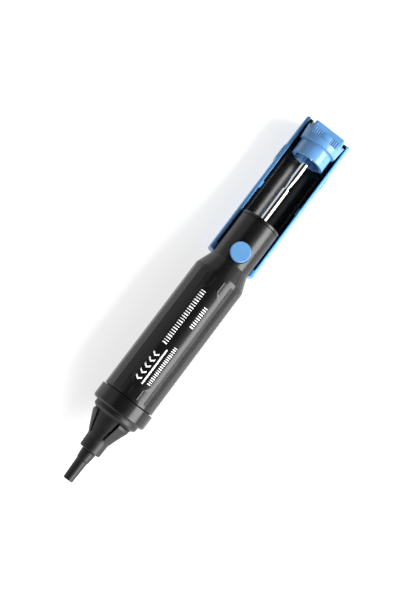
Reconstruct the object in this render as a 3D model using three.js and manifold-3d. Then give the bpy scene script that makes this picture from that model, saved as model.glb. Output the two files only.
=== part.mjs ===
// Spring-loaded desoldering pump, lying on its back with the release button up.
// Every piece is drawn upright first: local Y is the distance from the nozzle's mouth,
// local Z is the button side. The last lines lay the whole pump along +X.
import * as THREE from "three";
import { mergeVertices } from "three/addons/utils/BufferGeometryUtils.js";
import Module from "manifold-3d";

const wasm = await Module();
wasm.setup();

// Stations along the pump, in millimetres from the nozzle's mouth.
const pumpLength = 196;
const nozzleStepAt = 10.9;
const noseFrontAt = 15.5;
const wingFrontAt = 22.3;
const wingRearAt = 32.6;
const collarFrontAt = 36.1;
const collarRearAt = 43.5;
const barrelFrontAt = 43.8;
const barrelRearAt = 111.1;
const neckFrontAt = 118.5;
const neckRearAt = 142.7;
const capEndAt = 194.5;
const capRimAt = 178;
const flangeFrontAt = 185.4;
const flangeRearAt = 192.2;
const buttonAt = 124.5;
const guardFrontAt = 119;

// Radii, in millimetres.
const nozzleMouthR = 2.4;
const nozzleBoreR = 1.15;
const nozzleBodyR = 3.5;
const noseTubeR = 5.6;
const noseBoreR = 3.75;
const noseRingR = 11.2;
const collarR = 13.5;
const barrelR = 12.7;
const barrelBoreR = 10.4;
const neckR = 9.9;
const troughInnerR = 8.8;
const rodR = 2;
const latchNeckR = 1.25;
const capR = 8.3;
const flangeR = 10.05;
const buttonR = 4.7;

// Inside pieces: stations and radii, in millimetres.
const spigotEndAt = 39.8;
const chamberFloorAt = 118.4;
const chamberRoofAt = 139.8;
const chamberR = 8.2;
const bushingSeatAt = 116.9;
const bushingR = 7.6;
const boreEndAt = 111.4;
const noseSpigotEndAt = 42.2;
const pistonFrontAt = 98;
const pistonRearAt = 107.7;
const pistonR = 9.9;
const studR = 1.4;
const studHoleR = 1.7;
const pinTipAt = 32.5;
const pinR = 0.7;
const shoulderAt = 161.7;
const latchNeckEndAt = 168.5;
const rodEndAt = 189.6;
const latchFaceAt = 130.2;
const buttonSpringAt = 128;
const collarLipEndAt = 38.3;
const collarLipR = 11.5;
const wingRearR = 9.95;

// Other driving sizes.
const troughTop = -1.6;
const earFloor = 0.4;
const capFlat = 7.7;
const capFlatFrom = 188.6;
const capTopHalf = 8.1;
const padHeight = 8;
const firstWing = (20 * Math.PI) / 180;
const wingSpan = (46 * Math.PI) / 180;
const gripFacets = 18;
const roundFacets = 36;
const smallFacets = 24;
const guardHalfWidth = 12.3;
const guardWall = 1.65;
const guardTop = 0.6;
const buttonProud = 1.45;
const springTurns = 9;

const plastics = { roughness: 0.38, metalness: 0 };
const blackPlastic = { color: 0x1d1d20, ...plastics };
const bluePlastic = { color: 0x4b8fe0, ...plastics };
const guardPlastic = { color: 0x3f86dc, ...plastics };
const whitePlastic = { color: 0xe8e6df, roughness: 0.45, metalness: 0 };
const blackRubber = { color: 0x151515, roughness: 0.8, metalness: 0 };
const chromedSteel = { color: 0xd7d8da, roughness: 0.12, metalness: 1 };
const springSteel = { color: 0x9fa2a5, roughness: 0.3, metalness: 1 };
const yellowBrass = { color: 0xc9a552, roughness: 0.3, metalness: 1 };

const pump = new THREE.Group();

// A closed three.js geometry becomes a solid: shared vertices merged, flat triangles dropped.
function toSolid(geometry) {
  const bare = geometry.clone();
  bare.deleteAttribute("normal");
  bare.deleteAttribute("uv");
  const merged = mergeVertices(bare, 1e-4);
  const corners = Array.from(merged.index.array);
  const kept = [];
  for (let i = 0; i < corners.length; i += 3) {
    const [a, b, c] = corners.slice(i, i + 3);
    if (a !== b && b !== c && c !== a) {
      kept.push(a, b, c);
    }
  }
  if (signedVolume(merged.attributes.position, kept) < 0) {
    kept.reverse();
  }
  const vertProperties = new Float32Array(merged.attributes.position.array);
  const triVerts = new Uint32Array(kept);
  return new wasm.Manifold(new wasm.Mesh({ numProp: 3, vertProperties, triVerts }));
}

function signedVolume(position, corners) {
  const a = new THREE.Vector3();
  const b = new THREE.Vector3();
  const c = new THREE.Vector3();
  let volume = 0;
  for (let i = 0; i < corners.length; i += 3) {
    a.fromBufferAttribute(position, corners[i]);
    b.fromBufferAttribute(position, corners[i + 1]);
    c.fromBufferAttribute(position, corners[i + 2]);
    volume += a.dot(b.cross(c)) / 6;
  }
  return volume;
}

function toGeometry(solid) {
  const mesh = solid.getMesh();
  const geometry = new THREE.BufferGeometry();
  const stride = mesh.numProp;
  const points = new Float32Array((mesh.vertProperties.length / stride) * 3);
  for (let i = 0; i < points.length / 3; i += 1) {
    points.set(mesh.vertProperties.subarray(i * stride, i * stride + 3), i * 3);
  }
  geometry.setAttribute("position", new THREE.BufferAttribute(points, 3));
  geometry.setIndex(new THREE.BufferAttribute(new Uint32Array(mesh.triVerts), 1));
  geometry.computeVertexNormals();
  return geometry;
}

// A profile of [radius, station] points that closes on itself, turned about the pump's axis.
function turned(profile, facets = roundFacets, startAngle = 0) {
  const points = profile.map(([radius, station]) => new THREE.Vector2(radius, station));
  points.push(points[0].clone());
  return toSolid(new THREE.LatheGeometry(points, facets, startAngle));
}

function ring(innerR, outerR, from, to, facets = roundFacets) {
  return turned([[innerR, from], [outerR, from], [outerR, to], [innerR, to]], facets);
}

function disc(radius, from, to, facets = roundFacets, startAngle = 0) {
  return turned([[0, from], [radius, from], [radius, to], [0, to]], facets, startAngle);
}

// A box from its lowest to its highest corner.
function block(low, high) {
  const size = high.map((value, i) => value - low[i]);
  const box = new THREE.BoxGeometry(...size);
  box.translate(low[0] + size[0] / 2, low[1] + size[1] / 2, low[2] + size[2] / 2);
  return toSolid(box);
}

// A round bar standing along local Z.
function upright(radius, x, station, low, high, facets = smallFacets) {
  const bar = new THREE.CylinderGeometry(radius, radius, high - low, facets);
  bar.rotateX(Math.PI / 2);
  bar.translate(x, station, (low + high) / 2);
  return toSolid(bar);
}

function torus(ringR, sectionR, station, facets = smallFacets) {
  const shape = new THREE.TorusGeometry(ringR, sectionR, 6, facets);
  shape.rotateX(Math.PI / 2);
  shape.translate(0, station, 0);
  return toSolid(shape);
}

// A round wire wound about local Y from one station to another.
function coil(coilR, wireR, from, to, turns, stepsPerTurn, sides) {
  class Helix extends THREE.Curve {
    getPoint(t, target = new THREE.Vector3()) {
      const angle = t * turns * Math.PI * 2;
      return target.set(coilR * Math.sin(angle), from + (to - from) * t, coilR * Math.cos(angle));
    }
  }
  const wire = new THREE.Shape();
  for (let i = 0; i < sides; i += 1) {
    const angle = (i / sides) * Math.PI * 2;
    const x = wireR * Math.cos(angle);
    const y = wireR * Math.sin(angle);
    if (i === 0) {
      wire.moveTo(x, y);
    } else {
      wire.lineTo(x, y);
    }
  }
  wire.closePath();
  const steps = Math.round(turns * stepsPerTurn);
  return new THREE.ExtrudeGeometry(wire, { steps, extrudePath: new Helix(), bevelEnabled: false });
}

function addPiece(name, shape, look) {
  const geometry = shape.isBufferGeometry ? shape : toGeometry(shape);
  const mesh = new THREE.Mesh(geometry, new THREE.MeshStandardMaterial(look));
  mesh.name = name;
  pump.add(mesh);
}

// Grip barrel, tapered shoulder, latch neck and the open half-tube that the cap runs in.
function barrelHousing() {
  const shell = turned([
    [11.5, spigotEndAt],
    [11.5, barrelFrontAt],
    [barrelR - 0.5, barrelFrontAt],
    [barrelR, barrelFrontAt + 0.8],
    [barrelR, barrelRearAt],
    [neckR, neckFrontAt],
    [neckR, neckRearAt],
    [2.5, neckRearAt],
    [2.5, chamberRoofAt],
    [chamberR, chamberRoofAt],
    [chamberR, chamberFloorAt],
    [5.6, chamberFloorAt],
    [5.6, bushingSeatAt],
    [bushingR + 0.3, bushingSeatAt],
    [bushingR + 0.3, boreEndAt],
    [barrelBoreR, boreEndAt],
    [barrelBoreR, spigotEndAt],
  ], gripFacets * 2);
  const grip = gripFacetCut();
  const trough = ring(troughInnerR, neckR, neckRearAt - 1, pumpLength)
    .subtract(block([-12, neckRearAt, troughTop], [12, pumpLength, 12]));
  const buttonHole = upright(buttonR + 0.35, 0, buttonAt, 3, 12);
  const lipGroove = ring(neckR - 0.35, neckR + 1, neckRearAt - 2, neckRearAt - 1.4);
  return shell.subtract(grip).add(trough).subtract(buttonHole).subtract(lipGroove);
}

// What is cut off the round barrel: the space outside its flats, except under the label panel.
function gripFacetCut() {
  const from = barrelFrontAt + 4;
  const to = barrelRearAt - 3;
  const outside = ring(barrelR - 2, barrelR + 2, from, to)
    .subtract(disc(barrelR, from - 1, to + 1, gripFacets, Math.PI / gripFacets));
  return outside.subtract(labelPanel());
}

// Long round-ended panel on the front of the barrel.
function labelPanel() {
  const halfWidth = 6.3;
  const front = 50;
  const rear = 105;
  const outline = new THREE.Shape();
  outline.moveTo(-halfWidth, front + halfWidth);
  outline.absarc(0, front + halfWidth, halfWidth, Math.PI, 2 * Math.PI, false);
  outline.lineTo(halfWidth, rear - halfWidth);
  outline.absarc(0, rear - halfWidth, halfWidth, 0, Math.PI, false);
  outline.closePath();
  const depth = { depth: 12, bevelEnabled: false, curveSegments: 8 };
  const panel = new THREE.ExtrudeGeometry(outline, depth);
  panel.translate(0, 0, 4);
  return toSolid(panel);
}

// Union ring that holds the nose on the barrel.
function frontCollar() {
  return turned([
    [collarLipR, collarFrontAt],
    [collarR - 0.9, collarFrontAt],
    [collarR, collarFrontAt + 1],
    [collarR, collarRearAt - 0.3],
    [collarR - 0.3, collarRearAt],
    [12, collarRearAt],
    [12, collarLipEndAt],
    [collarLipR, collarLipEndAt],
  ]);
}

// Nose: front tube, cone, ring, flange under the collar and the spigot in the barrel.
function noseCap() {
  const shell = turned([
    [noseBoreR, noseFrontAt],
    [noseTubeR - 0.7, noseFrontAt],
    [noseTubeR - 0.4, noseFrontAt + 0.4],
    [noseTubeR - 0.15, wingFrontAt - 0.6],
    [9, wingRearAt - 0.2],
    [9.7, wingRearAt],
    [noseRingR, wingRearAt + 1.3],
    [noseRingR, 38.6],
    [11.7, 38.6],
    [11.7, 39.5],
    [10.05, 39.5],
    [10.05, 40],
    [8.8, 40],
    [8.8, 41.4],
    [10.05, 41.4],
    [10.05, noseSpigotEndAt],
    [7.6, noseSpigotEndAt],
    [7.6, 34],
    [noseBoreR, 22.4],
  ]);
  const thirdTurn = (2 * Math.PI) / 3;
  return shell.add(wing(firstWing)).add(wing(firstWing + thirdTurn)).add(wing(firstWing - thirdTurn));
}

// A raised panel on the cone. Its start angle is measured from the button side.
function wing(startAngle) {
  const profile = [
    [noseTubeR - 1, wingFrontAt - 0.4],
    [5.25, wingFrontAt],
    [5.95, wingFrontAt + 0.7],
    [wingRearR, wingRearAt - 1.5],
    [wingRearR, wingRearAt + 0.4],
    [7.9, wingRearAt + 0.4],
  ];
  const shell = turned(profile);
  const reach = 16;
  const slice = new THREE.Shape();
  slice.moveTo(0, 0);
  slice.lineTo(reach * Math.sin(wingSpan), reach * Math.cos(wingSpan));
  slice.lineTo(0, reach);
  slice.closePath();
  const wedge = new THREE.ExtrudeGeometry(slice, { depth: 20, bevelEnabled: false });
  wedge.rotateX(Math.PI / 2);
  wedge.translate(0, wingRearAt + 4, 0);
  wedge.rotateY(startAngle);
  return shell.intersect(toSolid(wedge));
}

function noseSealRing() {
  return torus(9.5, 0.6, 40.7);
}

// Heat-resistant nozzle: slender mouth, thick body and a spigot in the nose.
function nozzleTip() {
  return turned([
    [nozzleBoreR, 0],
    [nozzleMouthR - 0.25, 0],
    [nozzleMouthR, 0.35],
    [2.75, nozzleStepAt - 0.7],
    [3.05, nozzleStepAt],
    [nozzleBodyR, noseFrontAt - 0.3],
    [3.1, noseFrontAt - 0.3],
    [3.1, 17.8],
    [2.3, 17.8],
    [2.3, 19.1],
    [3.1, 19.1],
    [3.1, 21.8],
    [1.6, 21.8],
    [nozzleBoreR, 20.5],
  ], smallFacets);
}

function nozzleSealRing() {
  return torus(3, 0.45, 18.45);
}

function springSeatWasher() {
  return ring(7.5, 9.9, noseSpigotEndAt + 0.4, noseSpigotEndAt + 1.1, smallFacets);
}

function mainSpring() {
  return coil(8.7, 0.65, 44.3, 96.8, springTurns, 10, 5);
}

// Piston with a groove for its seal.
function piston() {
  return turned([
    [studHoleR, pistonFrontAt],
    [pistonR - 1.3, pistonFrontAt],
    [pistonR, pistonFrontAt + 1],
    [pistonR, 101.6],
    [pistonR - 1.6, 101.6],
    [pistonR - 1.6, 104.2],
    [pistonR, 104.2],
    [pistonR, pistonRearAt],
    [studHoleR, pistonRearAt],
  ], smallFacets);
}

function pistonSealRing() {
  return torus(9.4, 0.75, 102.9);
}

function pistonWasher(from) {
  return ring(studHoleR, 5, from, from + 0.5, smallFacets);
}

function pistonNut() {
  return ring(studHoleR, 3.2, 94, 96.9, 6);
}

// Steel wire that pushes solder out of the nozzle at the end of the stroke.
function cleaningPin() {
  return turned([
    [0, pinTipAt],
    [pinR / 2, pinTipAt],
    [pinR, pinTipAt + 0.9],
    [pinR, 95.4],
    [0, 95.4],
  ], 10);
}

// Chromed rod: stud through the piston, latch neck with one sharp shoulder, end in the cap.
function plungerRod() {
  return turned([
    [0, 95.8],
    [1, 95.8],
    [1, 92.6],
    [studR, 92.6],
    [studR, 108.8],
    [rodR, 108.8],
    [rodR, shoulderAt],
    [latchNeckR, shoulderAt],
    [latchNeckR, shoulderAt + 0.8],
    [rodR, latchNeckEndAt],
    [rodR, rodEndAt],
    [0, rodEndAt],
  ], smallFacets);
}

function rearBumper() {
  return ring(5.6, 9.7, boreEndAt - 3.1, boreEndAt - 0.3, smallFacets);
}

function rodBushing() {
  return ring(rodR + 0.3, bushingR, boreEndAt + 0.3, bushingSeatAt - 0.3, smallFacets);
}

// Thumb cap: hollow skirt with webs, eared flange and a flat-fronted top with grip ribs.
function plungerCap() {
  const skirt = turned([
    [0, flangeFrontAt + 3],
    [6.7, flangeFrontAt + 3],
    [6.7, capRimAt],
    [capR, capRimAt],
    [capR, flangeRearAt - 0.2],
    [0, flangeRearAt - 0.2],
  ]);
  const boss = disc(3.7, 180.5, flangeRearAt - 1);
  const flange = turned([
    [0, flangeFrontAt],
    [flangeR - 0.5, flangeFrontAt],
    [flangeR, flangeRearAt],
    [0, flangeRearAt],
  ]).subtract(disc(capR - 0.4, flangeFrontAt - 1, flangeFrontAt + 3));
  const ears = flange.subtract(block([-12, 180, -12], [12, pumpLength, earFloor]));
  const top = block([-capTopHalf, flangeRearAt - 1, earFloor], [capTopHalf, capEndAt, capFlat])
    .add(disc(capTopHalf, flangeRearAt - 1, capEndAt));
  let cap = skirt.add(boss).add(ears).add(top);
  for (let i = 0; i < 3; i += 1) {
    cap = cap.add(capWeb((i * Math.PI) / 3));
  }
  const flatFront = block([-12, capFlatFrom, capFlat], [12, pumpLength + 1, 12]);
  cap = cap.subtract(flatFront);
  for (const side of [-1, 1]) {
    for (let i = 0; i < 4; i += 1) {
      const x = side * (3.05 + i * 1.05);
      const low = [x - 0.22, capFlatFrom - 0.1, capFlat - 0.5];
      cap = cap.add(block(low, [x + 0.22, capEndAt - 2.4, capFlat + 0.3]));
    }
  }
  return cap.subtract(disc(rodR + 0.3, 170, rodEndAt + 0.3, smallFacets));
}

function capWeb(angle) {
  const web = new THREE.BoxGeometry(14.4, 7, 0.9);
  web.translate(0, 184.6, 0);
  web.rotateY(angle);
  return toSolid(web);
}

// U-shaped channel round the back of the plunger, flat underneath.
function plungerGuard() {
  const outer = channel(guardHalfWidth, -collarR, guardTop, 6, guardFrontAt, pumpLength);
  const innerHalf = guardHalfWidth - guardWall;
  const inner = channel(innerHalf, guardWall - collarR, guardTop + 4, 4.3, guardFrontAt + 3.4,
    pumpLength + 1);
  const foot = disc(neckR + 0.25, guardFrontAt - 1, guardFrontAt + 4)
    .add(block([-neckR - 0.25, guardFrontAt - 1, 0], [neckR + 0.25, guardFrontAt + 4, 14]));
  let guard = outer.subtract(inner).subtract(foot);
  for (const side of [-1, 1]) {
    const innerX = side * (innerHalf - 0.55);
    const outerX = side * (innerHalf + 0.3);
    const low = [Math.min(innerX, outerX), 155.3, -1.2];
    const high = [Math.max(innerX, outerX), 158.9, -0.1];
    guard = guard.add(block(low, high));
    guard = guard.add(sidePad(side));
  }
  return guard;
}

// Section of the guard: straight walls, flat back and round lower corners.
function channel(halfWidth, back, front, cornerR, from, to) {
  const outline = new THREE.Shape();
  outline.moveTo(halfWidth, front);
  outline.lineTo(-halfWidth, front);
  outline.lineTo(-halfWidth, back + cornerR);
  outline.absarc(cornerR - halfWidth, back + cornerR, cornerR, Math.PI, 1.5 * Math.PI, false);
  outline.lineTo(halfWidth - cornerR, back);
  outline.absarc(halfWidth - cornerR, back + cornerR, cornerR, 1.5 * Math.PI, 2 * Math.PI, false);
  outline.closePath();
  const bar = new THREE.ExtrudeGeometry(outline, {
    depth: to - from,
    bevelEnabled: false,
    curveSegments: 6,
  });
  bar.rotateX(Math.PI / 2);
  bar.translate(0, to, 0);
  return toSolid(bar);
}

// Low raised pad on each outer side of the guard.
function sidePad(side) {
  const outline = new THREE.Shape();
  const face = side * (guardHalfWidth - 0.3);
  const crest = side * (guardHalfWidth + 0.45);
  outline.moveTo(face, 171.4);
  outline.lineTo(crest, 172.6);
  outline.lineTo(crest, 178.1);
  outline.lineTo(face, 179.3);
  outline.closePath();
  const pad = new THREE.ExtrudeGeometry(outline, { depth: padHeight, bevelEnabled: false });
  pad.translate(0, 0, guardTop - 1 - padHeight);
  return toSolid(pad);
}

function releaseButton() {
  const crown = neckR + buttonProud;
  const cup = [
    new THREE.Vector2(0, 5.9),
    new THREE.Vector2(buttonR, 5.9),
    new THREE.Vector2(buttonR, crown - 0.35),
    new THREE.Vector2(buttonR - 0.35, crown),
    new THREE.Vector2(0, crown),
  ];
  const shape = new THREE.LatheGeometry(cup, smallFacets);
  shape.rotateX(Math.PI / 2);
  shape.translate(0, buttonAt, 0);
  return toSolid(shape);
}

// Bent steel plate under the button: its window goes round the rod and catches in the neck.
function latchPlate() {
  const plate = block([-4.4, latchFaceAt - 1.4, -4.6], [4.4, latchFaceAt, 5.5]);
  const window = block([-2.45, latchFaceAt - 3, -2.35], [2.45, latchFaceAt + 1, 4.7]);
  const tab = block([-3.6, latchFaceAt - 8.4, 4.7], [3.6, latchFaceAt, 5.5]);
  const foot = block([-2.4, latchFaceAt - 4, -4.6], [2.4, latchFaceAt, -3.9]);
  return plate.subtract(window).add(tab).add(foot);
}

function buttonSpring() {
  const spring = coil(1.4, 0.2, 4.95, 7.45, 4, 8, 4);
  spring.rotateX(-Math.PI / 2);
  spring.translate(0, buttonSpringAt, 0);
  return spring;
}

addPiece("barrel_housing", barrelHousing(), blackPlastic);
addPiece("front_collar", frontCollar(), blackPlastic);
addPiece("nose_cap", noseCap(), blackPlastic);
addPiece("nose_seal_ring", noseSealRing(), blackRubber);
addPiece("nozzle_tip", nozzleTip(), blackPlastic);
addPiece("nozzle_seal_ring", nozzleSealRing(), blackRubber);
addPiece("spring_seat_washer", springSeatWasher(), springSteel);
addPiece("main_spring", mainSpring(), springSteel);
addPiece("piston", piston(), whitePlastic);
addPiece("piston_seal_ring", pistonSealRing(), blackRubber);
addPiece("piston_front_washer", pistonWasher(pistonFrontAt - 0.8), springSteel);
addPiece("piston_rear_washer", pistonWasher(pistonRearAt + 0.3), springSteel);
addPiece("piston_nut", pistonNut(), yellowBrass);
addPiece("cleaning_pin", cleaningPin(), springSteel);
addPiece("plunger_rod", plungerRod(), chromedSteel);
addPiece("rear_bumper", rearBumper(), blackRubber);
addPiece("rod_bushing", rodBushing(), whitePlastic);
addPiece("plunger_cap", plungerCap(), bluePlastic);
addPiece("plunger_guard", plungerGuard(), guardPlastic);
addPiece("release_button", releaseButton(), bluePlastic);
addPiece("latch_plate", latchPlate(), springSteel);
addPiece("button_spring", buttonSpring(), springSteel);

// Lay the pump down: nozzle towards -X, button up, back of the guard on the ground.
pump.rotation.z = -Math.PI / 2;
pump.position.set(-pumpLength / 2, 0, collarR);

export default pump;
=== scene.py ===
import math

import bmesh
import bpy
import numpy as np
from mathutils import Matrix, Vector


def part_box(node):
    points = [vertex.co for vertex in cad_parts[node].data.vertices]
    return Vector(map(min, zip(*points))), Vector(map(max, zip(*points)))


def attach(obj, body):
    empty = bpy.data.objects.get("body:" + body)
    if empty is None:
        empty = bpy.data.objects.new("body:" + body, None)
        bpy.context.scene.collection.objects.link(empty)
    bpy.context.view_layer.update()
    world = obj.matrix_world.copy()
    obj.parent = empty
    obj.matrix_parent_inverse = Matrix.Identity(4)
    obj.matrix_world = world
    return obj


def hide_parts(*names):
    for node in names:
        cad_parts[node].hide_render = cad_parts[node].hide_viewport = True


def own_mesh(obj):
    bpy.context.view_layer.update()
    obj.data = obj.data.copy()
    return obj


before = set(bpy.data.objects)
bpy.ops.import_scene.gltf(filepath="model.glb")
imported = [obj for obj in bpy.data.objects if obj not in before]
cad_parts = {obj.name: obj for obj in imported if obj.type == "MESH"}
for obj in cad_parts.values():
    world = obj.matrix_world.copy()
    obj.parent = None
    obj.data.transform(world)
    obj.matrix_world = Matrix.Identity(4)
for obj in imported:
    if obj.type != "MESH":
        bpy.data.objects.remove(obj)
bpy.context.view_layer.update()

mm = 0.001

# Pump coordinates are in millimetres: right of the axis, station from the nozzle's mouth, front of the axis.
mouthX = float(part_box("nozzle_tip")[0][0])
collarLow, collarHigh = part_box("front_collar")
axisZ = float(collarLow[2] + collarHigh[2]) / 2
fullTurn = np.linspace(0, 2 * np.pi, 145)[:-1]


# Pump coordinates to world metres: x = mouth + station, y = -right, z = axis + front.
def place(right, station, front):
    right, station, front = np.broadcast_arrays(right, station, front)
    return np.stack([mouthX + station * mm, -right * mm, axisZ + front * mm], axis=-1)


# Rounds every corner of an outline with a quadratic arc: p = (1-k)^2 a + 2k(1-k) corner + k^2 b.
# Each arc gets a point 0.12 mm before and after it, so that flat stretches stay flat when shaded smooth.
def roundedOutline(corners, radius, steps=4, closed=True):
    spots = np.array([corner[:2] for corner in corners], float)
    sizes = np.array([corner[2] if len(corner) > 2 else radius for corner in corners])
    toBefore, toAfter = np.roll(spots, 1, axis=0) - spots, np.roll(spots, -1, axis=0) - spots
    lengthBefore, lengthAfter = np.linalg.norm(toBefore, axis=1), np.linalg.norm(toAfter, axis=1)
    toBefore, toAfter = toBefore / lengthBefore[:, None], toAfter / lengthAfter[:, None]
    halfAngles = np.arccos(np.clip(np.sum(toBefore * toAfter, axis=1), -1, 1)) / 2
    wanted = sizes / np.tan(halfAngles)
    if not closed:
        wanted[[0, -1]] = 0
    # A side that two arcs share is split between them as their sizes ask.
    shareBefore = 0.9 * lengthBefore * wanted / (wanted + np.roll(wanted, 1) + 1e-6)
    shareAfter = 0.9 * lengthAfter * wanted / (wanted + np.roll(wanted, -1) + 1e-6)
    reaches = np.minimum(wanted, np.minimum(shareBefore, shareAfter))
    outline = []
    for i, here in enumerate(spots):
        if not closed and i in (0, len(spots) - 1):
            outline.append(here)
            continue
        before, after, reach = toBefore[i], toAfter[i], reaches[i]
        lead = min(0.12, 0.045 * min(lengthBefore[i], lengthAfter[i]))
        k = np.linspace(0, 1, steps + 1)[:, None]
        start, finish = here + before * reach, here + after * reach
        outline.append(start + before * lead)
        outline.extend((1 - k) ** 2 * start + 2 * k * (1 - k) * here + k ** 2 * finish)
        outline.append(finish + after * lead)
    return np.array(outline)


# Quads over a grid of points, closed on itself along its rows or columns where asked.
def gridFaces(rows, columns, closeRows, closeColumns):
    r, c = np.meshgrid(np.arange(rows if closeRows else rows - 1),
                       np.arange(columns if closeColumns else columns - 1), indexing="ij")
    rNext, cNext = (r + 1) % rows, (c + 1) % columns
    quads = [r * columns + c, r * columns + cNext, rNext * columns + cNext, rNext * columns + c]
    return np.stack(quads, axis=-1).reshape(-1, 4)


# Makes the mesh of one piece, merges its doubles, points its faces outwards and shades it smooth.
def makePiece(name, points, faces, material, body, stands=(), sharpAngle=38):
    mesh = bpy.data.meshes.new(name)
    mesh.from_pydata(np.asarray(points).reshape(-1, 3).tolist(), [], [list(map(int, f)) for f in faces])
    shell = bmesh.new()
    shell.from_mesh(mesh)
    bmesh.ops.remove_doubles(shell, verts=shell.verts, dist=2e-7)
    bmesh.ops.dissolve_degenerate(shell, edges=shell.edges, dist=1e-8)
    bmesh.ops.recalc_face_normals(shell, faces=shell.faces)
    shell.to_mesh(mesh)
    shell.free()
    mesh.polygons.foreach_set("use_smooth", np.ones(len(mesh.polygons), bool))
    mesh.set_sharp_from_angle(angle=math.radians(sharpAngle))
    mesh.materials.append(material)
    piece = bpy.data.objects.new(name, mesh)
    bpy.context.scene.collection.objects.link(piece)
    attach(piece, body)
    for node in stands:
        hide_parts(node)
    return piece


# An outline of (radius, station) turned about the axis: right = r sin(a), front = r cos(a).
# shape(r, station, a) may change the radius. An open outline has to start and end on the axis.
def turnedPoints(outline, angles, shape=None):
    radius, station = outline[:, 0][:, None], outline[:, 1][:, None]
    angle = angles[None, :]
    radius = radius + 0 * angle
    if shape is not None:
        radius = shape(radius, station + 0 * angle, angle + 0 * station)
    return place(radius * np.sin(angle), station, radius * np.cos(angle))


def turnedPiece(name, corners, material, body, rounding=0.25, stands=(), shape=None,
                angles=fullTurn, sharpAngle=38):
    onAxis = corners[0][0] == 0 and corners[-1][0] == 0
    outline = roundedOutline(corners, rounding, closed=not onAxis)
    points = turnedPoints(outline, angles, shape)
    faces = gridFaces(len(outline), len(angles), not onAxis, True)
    return makePiece(name, points, faces, material, body, stands, sharpAngle)


# A closed outline of (right, front) carried through stations, with flat ends.
def barPoints(sections, stations):
    return np.stack([place(section[:, 0], station, section[:, 1])
                     for section, station in zip(sections, stations)])


def barPiece(name, sections, stations, material, body, stands=(), bevel=0.0):
    points = barPoints(sections, stations)
    rows, columns = points.shape[:2]
    faces = [list(f) for f in gridFaces(rows, columns, False, True)]
    faces.append(list(range(columns)))
    faces.append(list(range((rows - 1) * columns, rows * columns)))
    piece = makePiece(name, points, faces, material, body, stands)
    if bevel:
        soften(piece, bevel)
    return piece


def soften(piece, width, segments=3):
    edge = piece.modifiers.new("soften", "BEVEL")
    edge.width = width * mm
    edge.segments = segments
    edge.limit_method = "ANGLE"
    edge.angle_limit = math.radians(35)
    edge.harden_normals = True


# A round wire wound about a line: a point's angle grows with t, and the wire's circle lies across it.
# Both ends are closed coils: the climb eases in and out over the first and last turn.
def coilPoints(coilR, wireR, start, end, turns, stepsPerTurn=40, sides=12):
    t = np.linspace(0, 1, int(turns * stepsPerTurn))
    climb = np.clip((t * turns - 0.9) / (turns - 1.8), 0, 1)
    flat = wireR * 2 * np.clip(t * turns / 0.9, 0, 1)
    rest = wireR * 2 * np.clip((t * turns - turns + 0.9) / 0.9, 0, 1)
    along = start + wireR + flat + rest + climb * (end - start - 6 * wireR)
    angle = t * turns * 2 * np.pi
    around = np.linspace(0, 2 * np.pi, sides, endpoint=False)
    radius = coilR + wireR * np.cos(around)[None, :]
    return (radius * np.sin(angle)[:, None], along[:, None] + wireR * np.sin(around)[None, :],
            radius * np.cos(angle)[:, None])


def wirePiece(name, points, material, body, stands):
    rows, columns = points.shape[:2]
    faces = [list(f) for f in gridFaces(rows, columns, False, True)]
    faces.append(list(range(columns)))
    faces.append(list(range((rows - 1) * columns, rows * columns)))
    return makePiece(name, points, faces, material, body, stands)


def linearColour(hexText):
    channels = [int(hexText[i:i + 2], 16) / 255 for i in (1, 3, 5)]
    return [c / 12.92 if c <= 0.04045 else ((c + 0.055) / 1.055) ** 2.4 for c in channels] + [1.0]


# Adds one node with its settings and its inputs, where an input is a value or another node's output.
def addNode(tree, kind, settings=None, inputs=None):
    made = tree.nodes.new(kind)
    for name, value in (settings or {}).items():
        setattr(made, name, value)
    for name, value in (inputs or {}).items():
        if isinstance(value, bpy.types.NodeSocket):
            tree.links.new(value, made.inputs[name])
        else:
            made.inputs[name].default_value = value
    return made


def startMaterial(name):
    material = bpy.data.materials.new(name)
    material.use_nodes = True
    tree = material.node_tree
    tree.nodes.clear()
    position = addNode(tree, "ShaderNodeTexCoord").outputs["Object"]
    return material, tree, position


def finishMaterial(tree, inputs):
    surface = addNode(tree, "ShaderNodeBsdfPrincipled", inputs=inputs)
    addNode(tree, "ShaderNodeOutputMaterial", inputs={"Surface": surface.outputs["BSDF"]})


# A noise of the given feature size in millimetres, spread over low to high.
def noiseRange(tree, position, size, low, high, detail=3.0):
    noise = addNode(tree, "ShaderNodeTexNoise", inputs={
        "Vector": position, "Scale": 1 / (size * mm), "Detail": detail, "Roughness": 0.55})
    return addNode(tree, "ShaderNodeMapRange", inputs={
        "Value": noise.outputs["Fac"], "From Min": 0.3, "From Max": 0.7,
        "To Min": low, "To Max": high}).outputs["Result"]


# Moulded plastic: a spark-eroded tool leaves a fine grain, and handling polishes it in soft patches.
def mouldedPlastic(name, look):
    material, tree, position = startMaterial(name)
    patches = noiseRange(tree, position, look["patchSize"], 0, 1)
    colour = addNode(tree, "ShaderNodeMix", {"data_type": "RGBA"}, {
        "Factor": patches, "A": linearColour(look["colour"]), "B": linearColour(look["worn"])})
    roughness = noiseRange(tree, position, look["patchSize"] * 0.4, *look["roughness"])
    grain = noiseRange(tree, position, look["grainSize"], 0, 1, 2.0)
    bump = addNode(tree, "ShaderNodeBump", inputs={
        "Height": grain, "Strength": look["grainStrength"], "Distance": 0.02 * mm})
    finishMaterial(tree, {
        "Base Color": colour.outputs["Result"], "Roughness": roughness, "Normal": bump.outputs["Normal"],
        "IOR": look["ior"], "Subsurface Weight": look.get("glow", 0.0),
        "Subsurface Radius": (1.0, 1.0, 1.0), "Subsurface Scale": 0.8 * mm})
    return material


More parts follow.
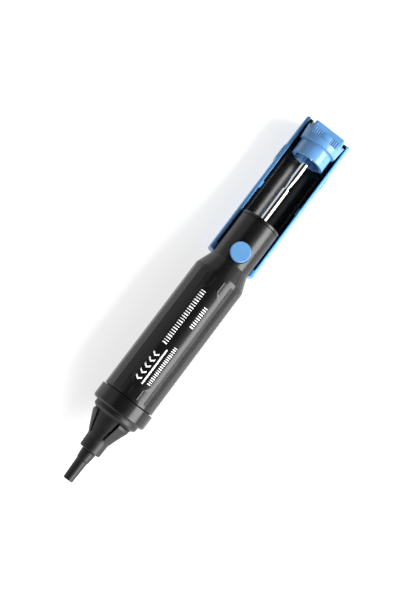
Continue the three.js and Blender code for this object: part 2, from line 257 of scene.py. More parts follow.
# Metal: a fine drawn or turned grain stretched along the pump, and a little variation in the polish.
def workedMetal(name, look):
    material, tree, position = startMaterial(name)
    stretched = addNode(tree, "ShaderNodeMapping", inputs={"Vector": position, "Scale": look["stretch"]})
    lines = noiseRange(tree, stretched.outputs["Vector"], look["grainSize"], 0, 1, 2.0)
    roughness = noiseRange(tree, position, look["patchSize"], look["roughness"][0], look["roughness"][1])
    bump = addNode(tree, "ShaderNodeBump", inputs={
        "Height": lines, "Strength": look["grainStrength"], "Distance": 0.01 * mm})
    finishMaterial(tree, {
        "Base Color": linearColour(look["colour"]), "Metallic": 1.0, "Roughness": roughness,
        "Normal": bump.outputs["Normal"]})
    return material


# Black ABS, injection moulded: a satin black that takes a soft, slightly broken highlight.
blackAbs = mouldedPlastic("blackAbs", {
    "colour": "#111112", "worn": "#141415", "roughness": (0.19, 0.24), "ior": 1.4,
    "patchSize": 9, "grainSize": 0.35, "grainStrength": 0.1})
# The nose comes from a coarser, spark-eroded tool, so the same black plastic looks dull there.
grainedAbs = mouldedPlastic("grainedAbs", {
    "colour": "#111112", "worn": "#151516", "roughness": (0.38, 0.48), "ior": 1.4,
    "patchSize": 7, "grainSize": 0.3, "grainStrength": 0.25})
# The same ABS in the neck and half-tube, from a finely blasted tool: a broader, softer shine.
satinAbs = mouldedPlastic("satinAbs", {
    "colour": "#0f0f10", "worn": "#121213", "roughness": (0.23, 0.29), "ior": 1.42,
    "patchSize": 12, "grainSize": 0.4, "grainStrength": 0.06})
# Glass-filled PTFE of the nozzle: duller, with a slightly waxy grey sheen.
nozzlePtfe = mouldedPlastic("nozzlePtfe", {
    "colour": "#131314", "worn": "#171718", "roughness": (0.38, 0.48), "ior": 1.38,
    "patchSize": 4, "grainSize": 0.3, "grainStrength": 0.2})
# Light blue polypropylene of the cap and button: clean, semi-gloss, lets a little light in.
skyPolypropylene = mouldedPlastic("skyPolypropylene", {
    "colour": "#5888b8", "worn": "#5c8cbc", "roughness": (0.2, 0.27), "ior": 1.49,
    "patchSize": 8, "grainSize": 0.3, "grainStrength": 0.05, "glow": 0.12})
# Mid blue polypropylene of the guard, a deeper batch of the same plastic.
guardPolypropylene = mouldedPlastic("guardPolypropylene", {
    "colour": "#4787be", "worn": "#4b8bc2", "roughness": (0.24, 0.32), "ior": 1.49,
    "patchSize": 10, "grainSize": 0.3, "grainStrength": 0.06, "glow": 0.08})
# Natural acetal: milky off-white, slippery and faintly translucent.
naturalAcetal = mouldedPlastic("naturalAcetal", {
    "colour": "#e9e6dc", "worn": "#efece4", "roughness": (0.3, 0.38), "ior": 1.48,
    "patchSize": 5, "grainSize": 0.3, "grainStrength": 0.08, "glow": 0.1})
# Nitrile rubber: nearly black and dull, with a fine grain.
nitrileRubber = mouldedPlastic("nitrileRubber", {
    "colour": "#161616", "worn": "#202020", "roughness": (0.55, 0.7), "ior": 1.52,
    "patchSize": 3, "grainSize": 0.25, "grainStrength": 0.3})
# White pad-printing ink: flat, opaque and a touch uneven.
padInk = mouldedPlastic("padInk", {
    "colour": "#f4f4f2", "worn": "#ffffff", "roughness": (0.4, 0.5), "ior": 1.5,
    "patchSize": 2, "grainSize": 0.2, "grainStrength": 0.1})
# Hard chrome on a ground rod: a mirror with the faintest lengthways grind.
hardChrome = workedMetal("hardChrome", {
    "colour": "#e6e6e6", "roughness": (0.05, 0.09), "stretch": (0.05, 1, 1),
    "patchSize": 6, "grainSize": 0.2, "grainStrength": 0.04})
# Oil-tempered spring steel: grey, with the drawing marks of the die.
springSteel = workedMetal("springSteel", {
    "colour": "#a9aaac", "roughness": (0.22, 0.32), "stretch": (1, 1, 1),
    "patchSize": 3, "grainSize": 0.15, "grainStrength": 0.15})
# Turned brass of the piston nut.
turnedBrass = workedMetal("turnedBrass", {
    "colour": "#d3b066", "roughness": (0.2, 0.3), "stretch": (1, 0.1, 0.1),
    "patchSize": 3, "grainSize": 0.12, "grainStrength": 0.15})
print("materials made")

barrel = {
    "radius": 12.7, "facets": 18, "hollow": 0.42, "ridge": 0.07, "ridgeWidth": 0.7,
    "gripFrom": 45.2, "gripTo": 109.4, "gripFade": 0.5,
    "panelFrom": 50.1, "panelTo": 103.9, "panelHalfWidth": 6.1, "panelEdge": 0.35}


# How far a point lies inside the round-ended label panel, in mm, from its chord and station.
def insidePanel(chord, station):
    half = barrel["panelHalfWidth"]
    middle = np.clip(station, barrel["panelFrom"] + half, barrel["panelTo"] - half)
    return half - np.hypot(chord, station - middle)


# The outer wall is softly facetted with a fine ridge on each edge: a flat's radius is R cos(h) / cos(a'),
# where a' is the angle from the facet's middle, and the wall goes part of the way there, by hollow.
# It fades to a plain cylinder under the label panel.
def barrelShape(radius, station, angle):
    half = math.pi / barrel["facets"]
    fromMiddle = (angle + half) % (2 * half) - half
    flat = barrel["radius"] * math.cos(half) / np.cos(fromMiddle)
    edge = (half - np.abs(fromMiddle)) * barrel["radius"]
    ridge = barrel["ridge"] * np.exp(-(edge / (barrel["ridgeWidth"] * 0.35)) ** 2)
    facetted = (flat - barrel["radius"]) * barrel["hollow"] + ridge - 0.06
    front = np.cos(angle) > 0
    panel = np.where(front, insidePanel(barrel["radius"] * np.sin(angle), station), -9)
    grip = np.clip((station - barrel["gripFrom"]) / barrel["gripFade"], 0, 1)
    grip = grip * np.clip((barrel["gripTo"] - station) / barrel["gripFade"], 0, 1)
    grip = grip * np.clip(-panel / barrel["panelEdge"], 0, 1)
    outer = (radius > barrel["radius"] - 0.02) & (station > 44.4)
    step = -0.06 * np.exp(-(panel / 0.22) ** 2)
    return np.where(outer, radius + facetted * grip + step, radius)


def makeBarrel():
    corners = [(11.5, 39.8), (11.5, 43.8), (12.55, 43.8), (12.7, 43.95), (12.7, 111.1), (9.92, 118.5),
               (9.6, 118.8), (9.6, 119.6), (7.9, 119.6), (7.9, 111.4), (10.4, 111.4), (10.4, 39.8)]
    outline = roundedOutline(corners, 0.35)
    grip = np.concatenate([np.linspace(44.9, 46, 7), np.linspace(46.4, 58, 60), np.linspace(59, 95.5, 38),
                           np.linspace(96, 108.6, 60), np.linspace(108.8, 110.1, 8)])
    first = int(np.argmax((outline[:, 0] > 12.69) & (outline[:, 1] > 100)))
    wall = np.stack([np.full(len(grip), barrel["radius"]), grip], axis=1)
    outline = np.insert(outline, first, wall, axis=0)
    half = math.pi / barrel["facets"]
    fine = half + np.array([-0.09, -0.05, -0.03, -0.015, 0, 0.015, 0.03, 0.05, 0.09])
    coarse = np.linspace(-half + 0.11, half - 0.11, 5)
    angles = np.concatenate([np.concatenate([coarse, fine]) + 2 * half * i for i in range(barrel["facets"])])
    front = np.linspace(-0.64, 0.64, 130)
    angles = np.unique(np.round(np.concatenate([angles % (2 * math.pi), front % (2 * math.pi)]), 4))
    points = turnedPoints(outline, angles, barrelShape)
    faces = gridFaces(len(outline), len(angles), True, True)
    return makePiece("gripBarrel", points, faces, blackAbs, "housing", ["barrel_housing"])


makeBarrel()
print("barrel made")

neck = {"radius": 9.9, "wall": 1.5, "from": 118.5, "to": 141.0, "holeR": 5.05, "holeAt": 124.5}


# The neck is a rectangle wrapped round the axis, with a round hole: rays run from the hole's rim to the
# rectangle's edge, at p = rim + t (edge - rim), and a wrapped point has angle = across / radius.
def makeNeck():
    halfWrap = math.pi * neck["radius"]
    low, high = neck["from"] - neck["holeAt"], neck["to"] - neck["holeAt"]
    side = np.linspace(-1, 1, 61)[:-1]
    across = np.concatenate([halfWrap * side ** 3 * 0.6 + halfWrap * side * 0.4, np.full(40, halfWrap),
                             -(halfWrap * side ** 3 * 0.6 + halfWrap * side * 0.4), np.full(40, -halfWrap)])
    climb = np.linspace(low, high, 41)[:-1]
    along = np.concatenate([np.full(60, low), climb, np.full(60, high), climb[::-1] + (high - low) / 40])
    heading = np.arctan2(along, across)
    rimRight = neck["holeR"] * np.cos(heading)
    rimAcross = neck["radius"] * np.arcsin(np.clip(rimRight / neck["radius"], -1, 1))
    rimAlong = neck["holeR"] * np.sin(heading)
    t = np.concatenate([[0, 0.004, 0.01], np.linspace(0.02, 1, 40)])[:, None]
    gridAcross = rimAcross + t * (across - rimAcross)
    gridAlong = rimAlong + t * (along - rimAlong)
    angle = gridAcross / neck["radius"]
    points = place(neck["radius"] * np.sin(angle), neck["holeAt"] + gridAlong, neck["radius"] * np.cos(angle))
    faces = gridFaces(points.shape[0], points.shape[1], False, True)
    piece = makePiece("neckSleeve", points, faces, satinAbs, "housing")
    wall = piece.modifiers.new("wall", "SOLIDIFY")
    wall.thickness = neck["wall"] * mm
    wall.offset = -1
    wall.use_rim = True
    soften(piece, 0.16)
    return piece


makeNeck()
turnedPiece("neckEnd", [(2.5, 139.8), (2.5, 142.7), (9.9, 142.7), (9.9, 141.4), (9.5, 141.2), (9.5, 139.8)],
            satinAbs, "housing", rounding=0.3)


# Half-tube behind the neck: an arc out and an arc back, from edge to edge through the back.
def makeTrough():
    outerR, innerR, edgeFront = 9.9, 8.8, -1.6
    outerEnd = math.acos(edgeFront / outerR)
    innerEnd = math.acos(edgeFront / innerR)
    outerArc = np.linspace(outerEnd, 2 * math.pi - outerEnd, 73)
    innerArc = np.linspace(2 * math.pi - innerEnd, innerEnd, 73)
    section = np.concatenate([
        np.stack([outerR * np.sin(outerArc), outerR * np.cos(outerArc)], axis=1),
        np.stack([innerR * np.sin(innerArc), innerR * np.cos(innerArc)], axis=1)])
    stations = [141.7, 150, 160, 170, 180, 190, 196.0]
    barPiece("halfTube", [section] * len(stations), stations, satinAbs, "housing", bevel=0.22)


# Flat rim round the half-tube's open end. A point's share of the way round the outer square, by length, is
# matched with the same share of the bore's arc, and the oblong between the two is carried round.
def makeEndRim():
    half, front, back = rim["half"], rim["front"], rim["back"]
    outline = roundedOutline([(half, front), (half, back, rim["corner"]), (-half, back, rim["corner"]),
                              (-half, front)], 0.01, steps=8, closed=False)
    length = np.concatenate([[0], np.cumsum(np.hypot(*np.diff(outline[:, :2], axis=0).T))])
    share = np.linspace(0, 1, 97)
    outerRight = np.interp(share * length[-1], length, outline[:, 0])
    outerFront = np.interp(share * length[-1], length, outline[:, 1])
    arcEnd = math.acos(front / rim["boreR"])
    arc = arcEnd + share * 2 * (math.pi - arcEnd)
    innerRight, innerFront = rim["boreR"] * np.sin(arc), rim["boreR"] * np.cos(arc)
    points = np.stack([place(outerRight, rim["from"], outerFront), place(outerRight, rim["to"], outerFront),
                       place(innerRight, rim["to"], innerFront), place(innerRight, rim["from"], innerFront)],
                      axis=1)
    rows = len(points)
    faces = [list(f) for f in gridFaces(rows, 4, False, True)] + [[0, 1, 2, 3]]
    faces.append(list(range(4 * rows - 4, 4 * rows)))
    soften(makePiece("endRim", points, faces, satinAbs, "housing"), 0.1)


rim = {"half": 10.55, "front": -1.0, "back": -11.7, "corner": 3.6, "boreR": 8.85, "from": 193.9, "to": 195.8}
makeTrough()
makeEndRim()
print("neck and half-tube made")

guard = {"halfWidth": 12.3, "wall": 1.65, "top": 0.6, "back": -13.5, "from": 120.0, "to": 195.7, "foot": 3.4,
         "roundOver": 1.45}


# One section of the guard: the outer corners go one way round and the inner corners come back.
def guardSection(inset, innerHalf, innerBack, innerCorner):
    outerHalf, back, top = guard["halfWidth"] - inset, guard["back"] + inset, guard["top"]
    edge = guard["roundOver"]
    drop = 0.586 * edge  # two corners of 45 degrees each make the round shoulder of a wall
    corners = [(outerHalf - drop, top, edge), (outerHalf, top - drop, edge), (outerHalf, back, 6),
               (-outerHalf, back, 6), (-outerHalf, top - drop, edge), (drop - outerHalf, top, edge),
               (-innerHalf, top, 0.15), (-innerHalf, innerBack, innerCorner),
               (innerHalf, innerBack, innerCorner), (innerHalf, top, 0.15)]
    return roundedOutline(corners, edge, steps=8)


def makeGuard():
    innerHalf, innerBack = guard["halfWidth"] - guard["wall"], guard["back"] + guard["wall"]
    footHalf, footBack = neck["radius"] + 0.15, -neck["radius"] - 0.15
    ease = np.linspace(0, 1, 7)
    inset = 0.9 * (1 - np.sqrt(1 - (1 - ease) ** 2))
    stations = list(guard["from"] + 0.9 * ease)
    sections = [guardSection(i, footHalf, footBack, 9.8) for i in inset]
    footEnd = guard["from"] + guard["foot"]
    sections += [guardSection(0, footHalf, footBack, 9.8), guardSection(0, innerHalf, innerBack, 4.3)]
    stations += [footEnd, footEnd + 0.25]
    endInset = 0.35 * (1 - np.sqrt(1 - ease[1:] ** 2))
    for station in np.linspace(footEnd + 4, guard["to"] - 0.4, 12):
        stations.append(station)
        sections.append(guardSection(0, innerHalf, innerBack, 4.3))
    for step, amount in zip(ease[1:], endInset):
        stations.append(guard["to"] - 0.4 + 0.4 * step)
        sections.append(guardSection(amount, innerHalf, innerBack, 4.3))
    barPiece("plungerGuard", sections, stations, guardPolypropylene, "housing",
             ["plunger_guard"])
    for name, side in (("guardPadRight", 1), ("guardPadLeft", -1)):
        makeGuardPad(name, side)
        makeGuardTooth(name.replace("Pad", "Tooth"), side)


# Low pad on the guard's side: its height follows a rounded step along the pump.
def makeGuardPad(name, side):
    along = np.linspace(171.0, 179.4, 40)
    rise = 0.45 * np.clip(np.sin((along - 171.0) / 8.4 * math.pi) * 3.2, 0, 1)
    sections = []
    for height in rise:
        outer = guard["halfWidth"] + height
        section = np.array([(11.8, -0.9), (outer - 0.15, -1.1), (outer, -1.4), (outer, -8.1),
                            (outer - 0.15, -8.4), (11.8, -8.6)])
        sections.append(section * [side, 1])
    barPiece(name, sections, along, guardPolypropylene, "housing")


def makeGuardTooth(name, side):
    section = np.array([(11.0, -1.2), (10.05, -1.2), (10.05, -0.15), (11.0, -0.1)]) * [side, 1]
    barPiece(name, [section, section], [155.3, 158.9], guardPolypropylene, "housing",
             bevel=0.15)


makeGuard()
print("guard made")

turnedPiece("unionCollar", [
    (11.5, 36.1), (12.75, 36.1), (13.5, 36.95), (13.5, 43.5), (12.0, 43.5), (12.0, 38.3), (11.5, 38.3)],
    blackAbs, "collar", rounding=0.35, stands=["front_collar"])

nose = {"wingStart": 20, "wingSpan": 40, "wings": 3, "wingFront": 22.3, "wingRear": 32.8,
        "slotWidth": 0.75, "slotDepth": 1.1}


# The cone carries three raised panels. Inside a panel's angles the radius grows to the panel's own
# slope, and a narrow slot runs along each of its edges.
def noseShape(radius, station, angle):
    span = math.radians(nose["wingSpan"])
    period = 2 * math.pi / nose["wings"]
    turn = (angle - math.radians(nose["wingStart"])) % period
    panelR = np.interp(station, [22.2, 22.4, 23.0, 31.1, 32.9, 33.0], [5.35, 5.45, 6.05, 9.95, 9.95, 9.9])
    onCone = (station > nose["wingFront"]) & (station < nose["wingRear"]) & (radius > 4.9)
    beyond = np.minimum(turn - span, period - turn) * radius
    raised = np.where((turn < span) & onCone, np.maximum(panelR, radius), radius)
    inSlot = onCone & (turn >= span) & (beyond < nose["slotWidth"]) & (station > 22.8) & (station < 32.4)
    return np.where(inSlot, radius - nose["slotDepth"], raised)


def makeNose():
    corners = [(3.75, 15.5), (4.9, 15.5), (5.25, 15.9), (5.45, 21.7), (9.05, 32.2), (9.5, 32.95, 0.15),
               (9.95, 33.0, 0.15), (11.2, 34.1), (11.2, 38.6), (11.7, 38.6), (11.7, 39.5), (10.05, 39.5),
               (10.05, 40), (8.8, 40), (8.8, 41.4), (10.05, 41.4), (10.05, 42.2), (7.6, 42.2), (7.6, 34),
               (3.75, 22.4)]
    outline = roundedOutline(corners, 0.3)
    cone = np.concatenate([np.linspace(22.0, 23.3, 14), np.linspace(23.7, 30.7, 15),
                           np.linspace(30.9, 32.1, 8)])
    coneRows = np.stack([np.interp(cone, [21.7, 32.2], [5.45, 9.05]), cone], axis=1)
    outside = outline[:, 0] > 0.1 + np.interp(outline[:, 1], [22.4, 34], [3.75, 7.6])
    onCone = outside & (outline[:, 1] > 21.95) & (outline[:, 1] < 32.12)
    before = int(np.argmax(outside & (outline[:, 1] > 21.95)))
    outline = np.insert(outline[~onCone], before, coneRows, axis=0)
    width = nose["slotWidth"] / 7.5
    starts = np.radians(nose["wingStart"] + np.arange(nose["wings"]) * 360 / nose["wings"])[:, None]
    ends = starts + math.radians(nose["wingSpan"])
    steps = np.array([-0.03, -0.002, 0.002, width * 0.5, width - 0.002, width + 0.002, width + 0.03])
    angles = np.concatenate([np.linspace(0, 2 * np.pi, 121)[:-1], (starts - steps).ravel(),
                             (ends + steps).ravel()])
    angles = np.unique(np.round(angles % (2 * np.pi), 5))
    points = turnedPoints(outline, angles, noseShape)
    faces = gridFaces(len(outline), len(angles), True, True)
    makePiece("noseCone", points, faces, grainedAbs, "nose", ["nose_cap"], 32)


makeNose()
turnedPiece("nozzleTip", [
    (1.15, 0), (2.4, 0), (2.75, 10.2), (3.1, 10.9), (3.5, 15.2), (3.1, 15.2), (3.1, 17.8), (2.3, 17.8),
    (2.3, 19.1), (3.1, 19.1), (3.1, 21.8), (1.6, 21.8), (1.15, 20.5)],
    nozzlePtfe, "nozzle", rounding=0.3, stands=["nozzle_tip"])
print("collar, nose and nozzle made")

turnedPiece("plungerRod", [
    (0, 92.6), (1.4, 92.6), (1.4, 108.8), (2.0, 108.8), (2.0, 161.7, 0.06), (1.25, 161.7, 0.1),
    (1.25, 162.6, 2),
    (2.0, 168.5, 2), (2.0, 189.6), (0, 189.6)],
    hardChrome, "plunger", rounding=0.12, stands=["plunger_rod"])

cap = {"radius": 8.3, "rim": 178.0, "flangeFrom": 185.2, "flangeTo": 192.2, "end": 194.5,
       "flangeR": 10.0, "backR": 8.25, "earR": 10.8, "earHalf": (9.25, 9.9), "earFront": 4.6, "earTurn": 88.5,
       "topHalf": 8.15, "cornerR": 10.6, "flatFront": 7.75, "flatFrom": 188.6, "slope": (189.0, 192.0),
       "ribFirst": 3.05, "ribPitch": 1.05,
       "ribAt": 190.4, "ribHalfLength": 1.7, "ribHeight": 0.3, "ribHalfWidth": 0.27}


# Radius of the cap's upper part at an angle: a flared disc with flat sides in front, flush with the skirt
# behind, and a flat cut across the front above the grip line, where its ears slope back to their shoulders.
# The top is a square-fronted block.
def capRing(angle, station, shrink, earShrink):
    turn = np.abs((angle + np.pi) % (2 * np.pi) - np.pi)
    across = np.maximum(np.abs(np.sin(angle)), 1e-6)
    ahead = np.maximum(np.cos(angle), 1e-6)
    flare = np.interp(station, [cap["flangeFrom"], cap["flangeTo"]], [cap["flangeR"], cap["earR"]])
    earSide = np.interp(station, [cap["flangeFrom"], cap["flangeTo"]], cap["earHalf"]) / across
    ear = np.clip((math.radians(cap["earTurn"]) - turn) / 0.03, 0, 1)
    disc = cap["backR"] + (np.minimum(flare, earSide) - cap["backR"] - earShrink) * ear
    flatAmount = np.interp(station, [cap["flatFrom"] - 0.5, cap["flatFrom"] + 0.25], [0, 1])
    flatFront = np.where(turn < 1.5, cap["flatFront"] / ahead, 99)
    cut = np.minimum(disc, flatFront)
    ringR = disc + (cut - disc) * flatAmount
    earFront = np.interp(station, cap["slope"], [cap["flatFront"], cap["earFront"]])
    shoulder = np.where(turn < 1.5, np.maximum(cap["topHalf"] / across, earFront / ahead), 99)
    ringR = ringR + (np.minimum(ringR, shoulder) - ringR) * flatAmount
    square = np.where(turn < np.pi / 2, np.minimum(cap["topHalf"] / across, flatFront), cap["topHalf"])
    square = np.minimum(square, cap["cornerR"])
    blockAmount = np.interp(station, [cap["flangeTo"] - 0.05, cap["flangeTo"] + 0.12], [0, 1])
    return ringR + (square - ringR) * blockAmount - shrink


def makeCap():
    radius, rimAt = cap["radius"], cap["rim"]
    turnedPiece("capSkirt", [(0, 188.4), (6.7, 188.4), (6.7, rimAt),
                             (radius, rimAt), (radius, 191.8), (0, 191.8)],
                skyPolypropylene, "plunger", rounding=0.3, stands=["plunger_cap"])
    turnedPiece("capBoss", [(2.3, 180.8), (3.7, 180.8), (3.5, 188.9), (2.3, 188.9)],
                skyPolypropylene, "plunger", rounding=0.2)
    ease = np.linspace(0, 1, 6)
    curve = 1 - np.sqrt(np.clip(1 - (1 - ease) ** 2, 0, 1))
    lowEdge, topEdge = 0.35, 0.16
    stations = np.concatenate([
        cap["flangeFrom"] + lowEdge * ease, np.linspace(185.8, 187.9, 8), np.linspace(188.0, 189.0, 10),
        np.linspace(189.3, 191.6, 6), cap["flangeTo"] - 0.35 + 0.3 * ease, np.linspace(192.2, 192.35, 6),
        np.linspace(192.6, 193.9, 6), cap["end"] - topEdge * (1 - ease)])
    shrink, earShrink = np.zeros(len(stations)), np.zeros(len(stations))
    shrink[:6] = lowEdge * curve
    shoulder = 6 + 8 + 10 + 6
    earShrink[shoulder:shoulder + 6] = 0.3 * curve[::-1]
    shrink[-6:] = topEdge * curve[::-1]
    extra = np.concatenate([s * np.radians(np.linspace(43, 69, 79)) for s in (1, -1)])
    sides = np.concatenate([s * math.radians(cap["earTurn"]) + np.linspace(-0.05, 0.02, 8) for s in (1, -1)])
    angles = np.unique(np.round(np.concatenate([fullTurn, extra % (2 * np.pi), sides % (2 * np.pi)]), 4))
    radii = capRing(angles[None, :], stations[:, None], shrink[:, None], earShrink[:, None])
    body = place(radii * np.sin(angles), stations[:, None], radii * np.cos(angles))
    startPole = place(np.zeros(len(angles)), stations[0], np.zeros(len(angles)))[None]
    endPole = place(np.zeros(len(angles)), stations[-1], np.zeros(len(angles)))[None]
    points = np.concatenate([startPole, body, endPole])
    faces = gridFaces(len(points), len(angles), False, True)
    makePiece("capHead", points, faces, skyPolypropylene, "plunger", sharpAngle=32)
    for i in range(3):
        makeCapWeb(i)
    for i in range(4):
        makeCapRib("capRibRight" + str(i), cap["ribFirst"] + cap["ribPitch"] * i)
        makeCapRib("capRibLeft" + str(i), -cap["ribFirst"] - cap["ribPitch"] * i)


# A flat web across the hollow skirt, turned about the axis.
def makeCapWeb(index):
    turn = index * math.pi / 3
    across = np.array([(-6.9, -0.4), (6.9, -0.4), (6.9, 0.4), (-6.9, 0.4)])
    section = np.stack([across[:, 0] * math.cos(turn) - across[:, 1] * math.sin(turn),
                        across[:, 0] * math.sin(turn) + across[:, 1] * math.cos(turn)], axis=1)
    barPiece("capWeb" + str(index), [section, section], [181.6, 188.7], skyPolypropylene, "plunger",
             bevel=0.12)


# A grip rib is half of a long egg: each section is an arc whose height follows a super-ellipse along it.
def makeCapRib(name, right):
    t = np.linspace(-1, 1, 25)
    height = np.clip(1 - np.abs(t) ** 4, 0, 1) ** 0.5 + 0.02
    arc = np.linspace(0, np.pi, 11)
    halfWidth = cap["ribHalfWidth"]
    sections = [np.concatenate([np.stack([right + halfWidth * np.cos(arc) * (0.6 + 0.4 * h),
                                          cap["flatFront"] + cap["ribHeight"] * h * np.sin(arc)], axis=1),
                                [(right - 0.2, 7.3), (right + 0.2, 7.3)]]) for h in height]
    barPiece(name, sections, cap["ribAt"] + cap["ribHalfLength"] * t, skyPolypropylene, "plunger")


makeCap()
print("plunger made")

# The button is turned about the line that it is pressed along: station = 124.5 + r cos(a), front = height.
def makeButton():
    outline = roundedOutline([(0, 5.9), (4.7, 5.9), (4.7, 11.35, 0.45), (0, 11.25)], 0.2, steps=6,
                             closed=False)
    angle = fullTurn[None, :]
    radius, height = outline[:, 0][:, None], outline[:, 1][:, None]
    points = place(radius * np.sin(angle), neck["holeAt"] + radius * np.cos(angle), height + 0 * angle)
    faces = gridFaces(len(outline), len(fullTurn), False, True)
    makePiece("releaseButton", points, faces, skyPolypropylene, "button", ["release_button"])


makeButton()

insideParts = {
    "noseSealRing": ("ring", 9.5, 0.6, 40.7, nitrileRubber, "nose", "rubber", "nose_seal_ring"),
    "nozzleSealRing": ("ring", 3.0, 0.45, 18.45, nitrileRubber, "nozzle", "rubber", "nozzle_seal_ring"),
    "pistonSealRing": ("ring", 9.4, 0.75, 102.9, nitrileRubber, "plunger", "rubber", "piston_seal_ring")}
for name, (kind, ringR, sectionR, at, material, body, slot, node) in insideParts.items():
    turn = np.linspace(0, 2 * np.pi, 24, endpoint=False)
    outline = np.stack([ringR + sectionR * np.cos(turn), at + sectionR * np.sin(turn)], axis=1)
    makePiece(name, turnedPoints(outline, fullTurn), gridFaces(24, len(fullTurn), True, True), material,
              body, [node])

turnedPiece("springSeatWasher", [(7.5, 42.6), (9.9, 42.6), (9.9, 43.3), (7.5, 43.3)], springSteel,
            "housing", 0.08, ["spring_seat_washer"])
turnedPiece("pistonBody", [(1.7, 98), (8.6, 98), (9.9, 99), (9.9, 101.6), (8.3, 101.6), (8.3, 104.2),
                           (9.9, 104.2), (9.9, 107.7), (1.7, 107.7)], naturalAcetal,
            "plunger", 0.25, ["piston"])
turnedPiece("frontWasher", [(1.7, 97.2), (5, 97.2), (5, 97.7), (1.7, 97.7)], springSteel,
            "plunger", 0.08, ["piston_front_washer"])
turnedPiece("rearWasher", [(1.7, 108), (5, 108), (5, 108.5), (1.7, 108.5)], springSteel,
            "plunger", 0.08, ["piston_rear_washer"])
turnedPiece("cleaningPin", [(0, 32.5), (0.4, 32.5, 0.3), (0.7, 33.4), (0.7, 95.4), (0, 95.4)], springSteel,
            "plunger", 0.1, ["cleaning_pin"])
turnedPiece("rearBumper", [(5.6, 108.3), (9.7, 108.3), (9.7, 111.1), (5.6, 111.1)], nitrileRubber,
            "housing", 0.4, ["rear_bumper"])
turnedPiece("rodBushing", [(2.3, 111.7), (7.6, 111.7), (7.6, 116.6), (2.3, 116.6)], naturalAcetal,
            "housing", 0.3, ["rod_bushing"])


# Hexagon nut: the outer radius runs as flat / cos(angle from the flat's middle).
def nutShape(radius, station, angle):
    fromMiddle = (angle + math.pi / 6) % (math.pi / 3) - math.pi / 6
    return np.where(radius > 2.5, np.minimum(2.77 / np.cos(fromMiddle), radius), radius)


turnedPiece("pistonNut", [(1.7, 94), (2.9, 94), (3.2, 94.35), (3.2, 96.55), (2.9, 96.9), (1.7, 96.9)],
            turnedBrass, "plunger", 0.1, ["piston_nut"], nutShape)

mainSpring = wirePiece("mainSpring", place(*coilPoints(8.7, 0.6, 43.4, 97.3, 9.5)), springSteel, "housing",
                       ["main_spring"])
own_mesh(mainSpring)

coilRight, coilAlong, coilFront = coilPoints(1.4, 0.2, 0, 2.8, 4.5, 32, 8)
buttonSpring = wirePiece("buttonSpring", place(coilRight, 128.0 + coilFront, coilAlong - 7.75), springSteel,
                         "housing", ["button_spring"])
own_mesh(buttonSpring)

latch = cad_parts["latch_plate"]
latch.data.materials.clear()
latch.data.materials.append(springSteel)
print("inside pieces made")

# White marks on the label panel: each is a patch of (across, along) wrapped on the barrel at its radius.
# A bar is a plain rectangle, and an arrow's rows step back from its middle by slope |across|.
marks = {
    "bar": [(-0.03, 61.4, 0.75, 18.3)],
    "longRow": {"across": -2.95, "width": 2.4, "first": 72.5, "last": 100.6, "count": 23},
    "shortRow": {"across": 2.6, "width": 1.9, "first": 84.6, "last": 95.0, "count": 10},
    "finePitchRow": {"across": 2.6, "width": 1.7, "first": 53.8, "last": 73.2, "count": 20},
    "arrows": {"across": -3.0, "width": 3.0, "first": 53.2, "pitch": 3.1, "count": 5, "slope": 0.75}}


def markPatch(across, along, width, length, slope=0.0, rows=6, columns=9):
    u, v = np.meshgrid(np.linspace(-0.5, 0.5, columns), np.linspace(-0.5, 0.5, rows))
    station = along + v * length + np.abs(u) * width * slope
    angle = (across + u * width) / barrel["radius"]
    radius = barrel["radius"] + 0.01
    points = place(radius * np.sin(angle), station, radius * np.cos(angle))
    return points, gridFaces(rows, columns, False, False)


def makeMarks():
    patches = [markPatch(*bar) for bar in marks["bar"]]
    for rowName, fill in (("longRow", (0.5, 0.3, 0.4)), ("shortRow", (0.46, 0.3)),
                          ("finePitchRow", (0.46, 0.3, 0.38))):
        row = marks[rowName]
        pitch = (row["last"] - row["first"]) / (row["count"] - 1)
        for i in range(row["count"]):
            length = pitch * fill[i % len(fill)]
            patches.append(markPatch(row["across"], row["first"] + pitch * i, row["width"], length))
    arrows = marks["arrows"]
    for i in range(arrows["count"]):
        patches.append(markPatch(arrows["across"], arrows["first"] + arrows["pitch"] * i, arrows["width"],
                                 0.9, arrows["slope"]))
    points, faces, offset = [], [], 0
    for patchPoints, patchFaces in patches:
        points.append(patchPoints.reshape(-1, 3))
        faces.append(patchFaces + offset)
        offset += points[-1].shape[0]
    piece = makePiece("printedMarks", np.concatenate(points), np.concatenate(faces), padInk, "housing")
    ink = piece.modifiers.new("ink", "SOLIDIFY")
    ink.thickness = 0.03 * mm
    ink.offset = 0


makeMarks()
print("marks made")

lightSetup = {
    "key": {"angle": 57, "distance": 0.9, "width": 0.56, "length": 1.5, "power": 29},
    "sky": 0.8, "gap": 0.02, "gapMiddle": 11, "gapHalf": (21, 39), "floorGlow": 0.72}


# A sheet of pale card on a light table: it glows a little from below, which thins the shadows.
def makeFloor():
    material, tree, position = startMaterial("paleCard")
    grain = noiseRange(tree, position, 2.5, 0, 1)
    bump = addNode(tree, "ShaderNodeBump", inputs={"Height": grain, "Strength": 0.02, "Distance": 0.05 * mm})
    finishMaterial(tree, {"Base Color": linearColour("#bcbcbc"), "Roughness": 0.9,
                          "Normal": bump.outputs["Normal"], "Specular IOR Level": 0.1,
                          "Emission Color": (1, 1, 1, 1), "Emission Strength": lightSetup["floorGlow"]})
    mesh = bpy.data.meshes.new("floor")
    half = 3.0
    corners = [(-half, -half, 0), (half, -half, 0), (half, half, 0), (-half, half, 0)]
    mesh.from_pydata(corners, [], [(0, 1, 2, 3)])
    mesh.materials.append(material)
    floor = bpy.data.objects.new("floor", mesh)
    bpy.context.scene.collection.objects.link(floor)


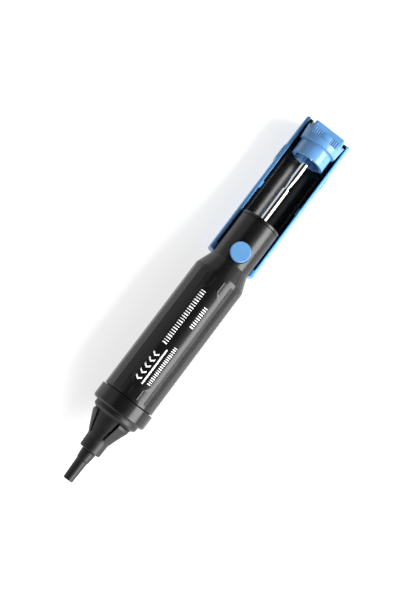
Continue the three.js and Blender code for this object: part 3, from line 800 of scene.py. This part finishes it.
# An oblong soft light beside the pump, turned about its axis away from straight above, facing it.
def addSoftLight(name, setup):
    light = bpy.data.lights.new(name, "AREA")
    light.shape = "RECTANGLE"
    light.size = setup["length"]
    light.size_y = setup["width"]
    light.energy = setup["power"]
    lamp = bpy.data.objects.new(name, light)
    angle = math.radians(setup["angle"])
    place3 = Vector((0, -math.sin(angle), math.cos(angle))) * setup["distance"]
    lamp.matrix_world = Matrix.Translation(place3) @ Matrix.Rotation(angle, 4, "X")
    bpy.context.scene.collection.objects.link(lamp)


makeFloor()
addSoftLight("keyLight", lightSetup["key"])

# A white room with a dark gap overhead, along the pump and a little to its left, where the camera hangs.
# The gap goes by a direction's angle about the pump's axis: atan2(left, up), counted from its middle. It is
# dark to the first half width, in degrees, and fades out by the second.
world = bpy.data.worlds.new("studio")
bpy.context.scene.world = world
world.use_nodes = True
sky = world.node_tree
sky.nodes.clear()
direction = addNode(sky, "ShaderNodeTexCoord").outputs["Generated"]
parts = addNode(sky, "ShaderNodeSeparateXYZ", inputs={"Vector": direction})
turnLeft = addNode(sky, "ShaderNodeMath", {"operation": "ARCTAN2"}, {
    0: parts.outputs["Y"], 1: parts.outputs["Z"]})
fromMiddle = addNode(sky, "ShaderNodeMath", {"operation": "SUBTRACT"}, {
    0: turnLeft.outputs["Value"], 1: math.radians(lightSetup["gapMiddle"])})
offMiddle = addNode(sky, "ShaderNodeMath", {"operation": "ABSOLUTE"}, {0: fromMiddle.outputs["Value"]})
fade = addNode(sky, "ShaderNodeMapRange", {"interpolation_type": "SMOOTHSTEP"}, {
    "Value": offMiddle.outputs["Value"],
    "From Min": math.radians(lightSetup["gapHalf"][0]), "From Max": math.radians(lightSetup["gapHalf"][1]),
    "To Min": lightSetup["gap"], "To Max": lightSetup["sky"]})
glow = addNode(sky, "ShaderNodeBackground", inputs={
    "Color": (1, 1, 1, 1), "Strength": fade.outputs["Result"]})
# The gap only shows in what the pump reflects: seen straight on, the room is plain.
plainRoom = addNode(sky, "ShaderNodeBackground", inputs={
    "Color": (1, 1, 1, 1), "Strength": lightSetup["sky"]})
seen = addNode(sky, "ShaderNodeLightPath")
room = addNode(sky, "ShaderNodeMixShader", inputs={"Fac": seen.outputs["Is Camera Ray"]})
sky.links.new(glow.outputs["Background"], room.inputs[1])
sky.links.new(plainRoom.outputs["Background"], room.inputs[2])
addNode(sky, "ShaderNodeOutputWorld", inputs={"Surface": room.outputs["Shader"]})

cameraSetup = {"lens": 64.9, "foot": 40.0, "sideways": 26.8, "height": 480.0, "lean": 37.0,
               "aim": (97.95, -0.7)}


# The camera looks down at the button side. Its roll leans the pump's axis from the view's vertical.
def addCamera(setup):
    camera = bpy.data.objects.new("camera", bpy.data.cameras.new("camera"))
    camera.data.lens = setup["lens"]
    camera.data.sensor_width = 36
    camera.data.clip_start = 0.01
    eye = Vector(place(-setup["sideways"], setup["foot"], setup["height"]).tolist())
    target = Vector(place(setup["aim"][1], setup["aim"][0], 0.0).tolist())
    back = (eye - target).normalized()
    axis = Vector((1, 0, 0))
    flat = (axis - axis.dot(back) * back).normalized()
    side = flat.cross(back)
    lean = math.radians(setup["lean"])
    up = math.cos(lean) * flat - math.sin(lean) * side
    right = up.cross(back)
    rotation = Matrix((right, up, back)).transposed().to_4x4()
    camera.matrix_world = Matrix.Translation(eye) @ rotation
    bpy.context.scene.collection.objects.link(camera)
    bpy.context.scene.camera = camera


addCamera(cameraSetup)
bpy.context.scene.view_settings.view_transform = "Standard"
print("stage set")

bpy.context.view_layer.update()
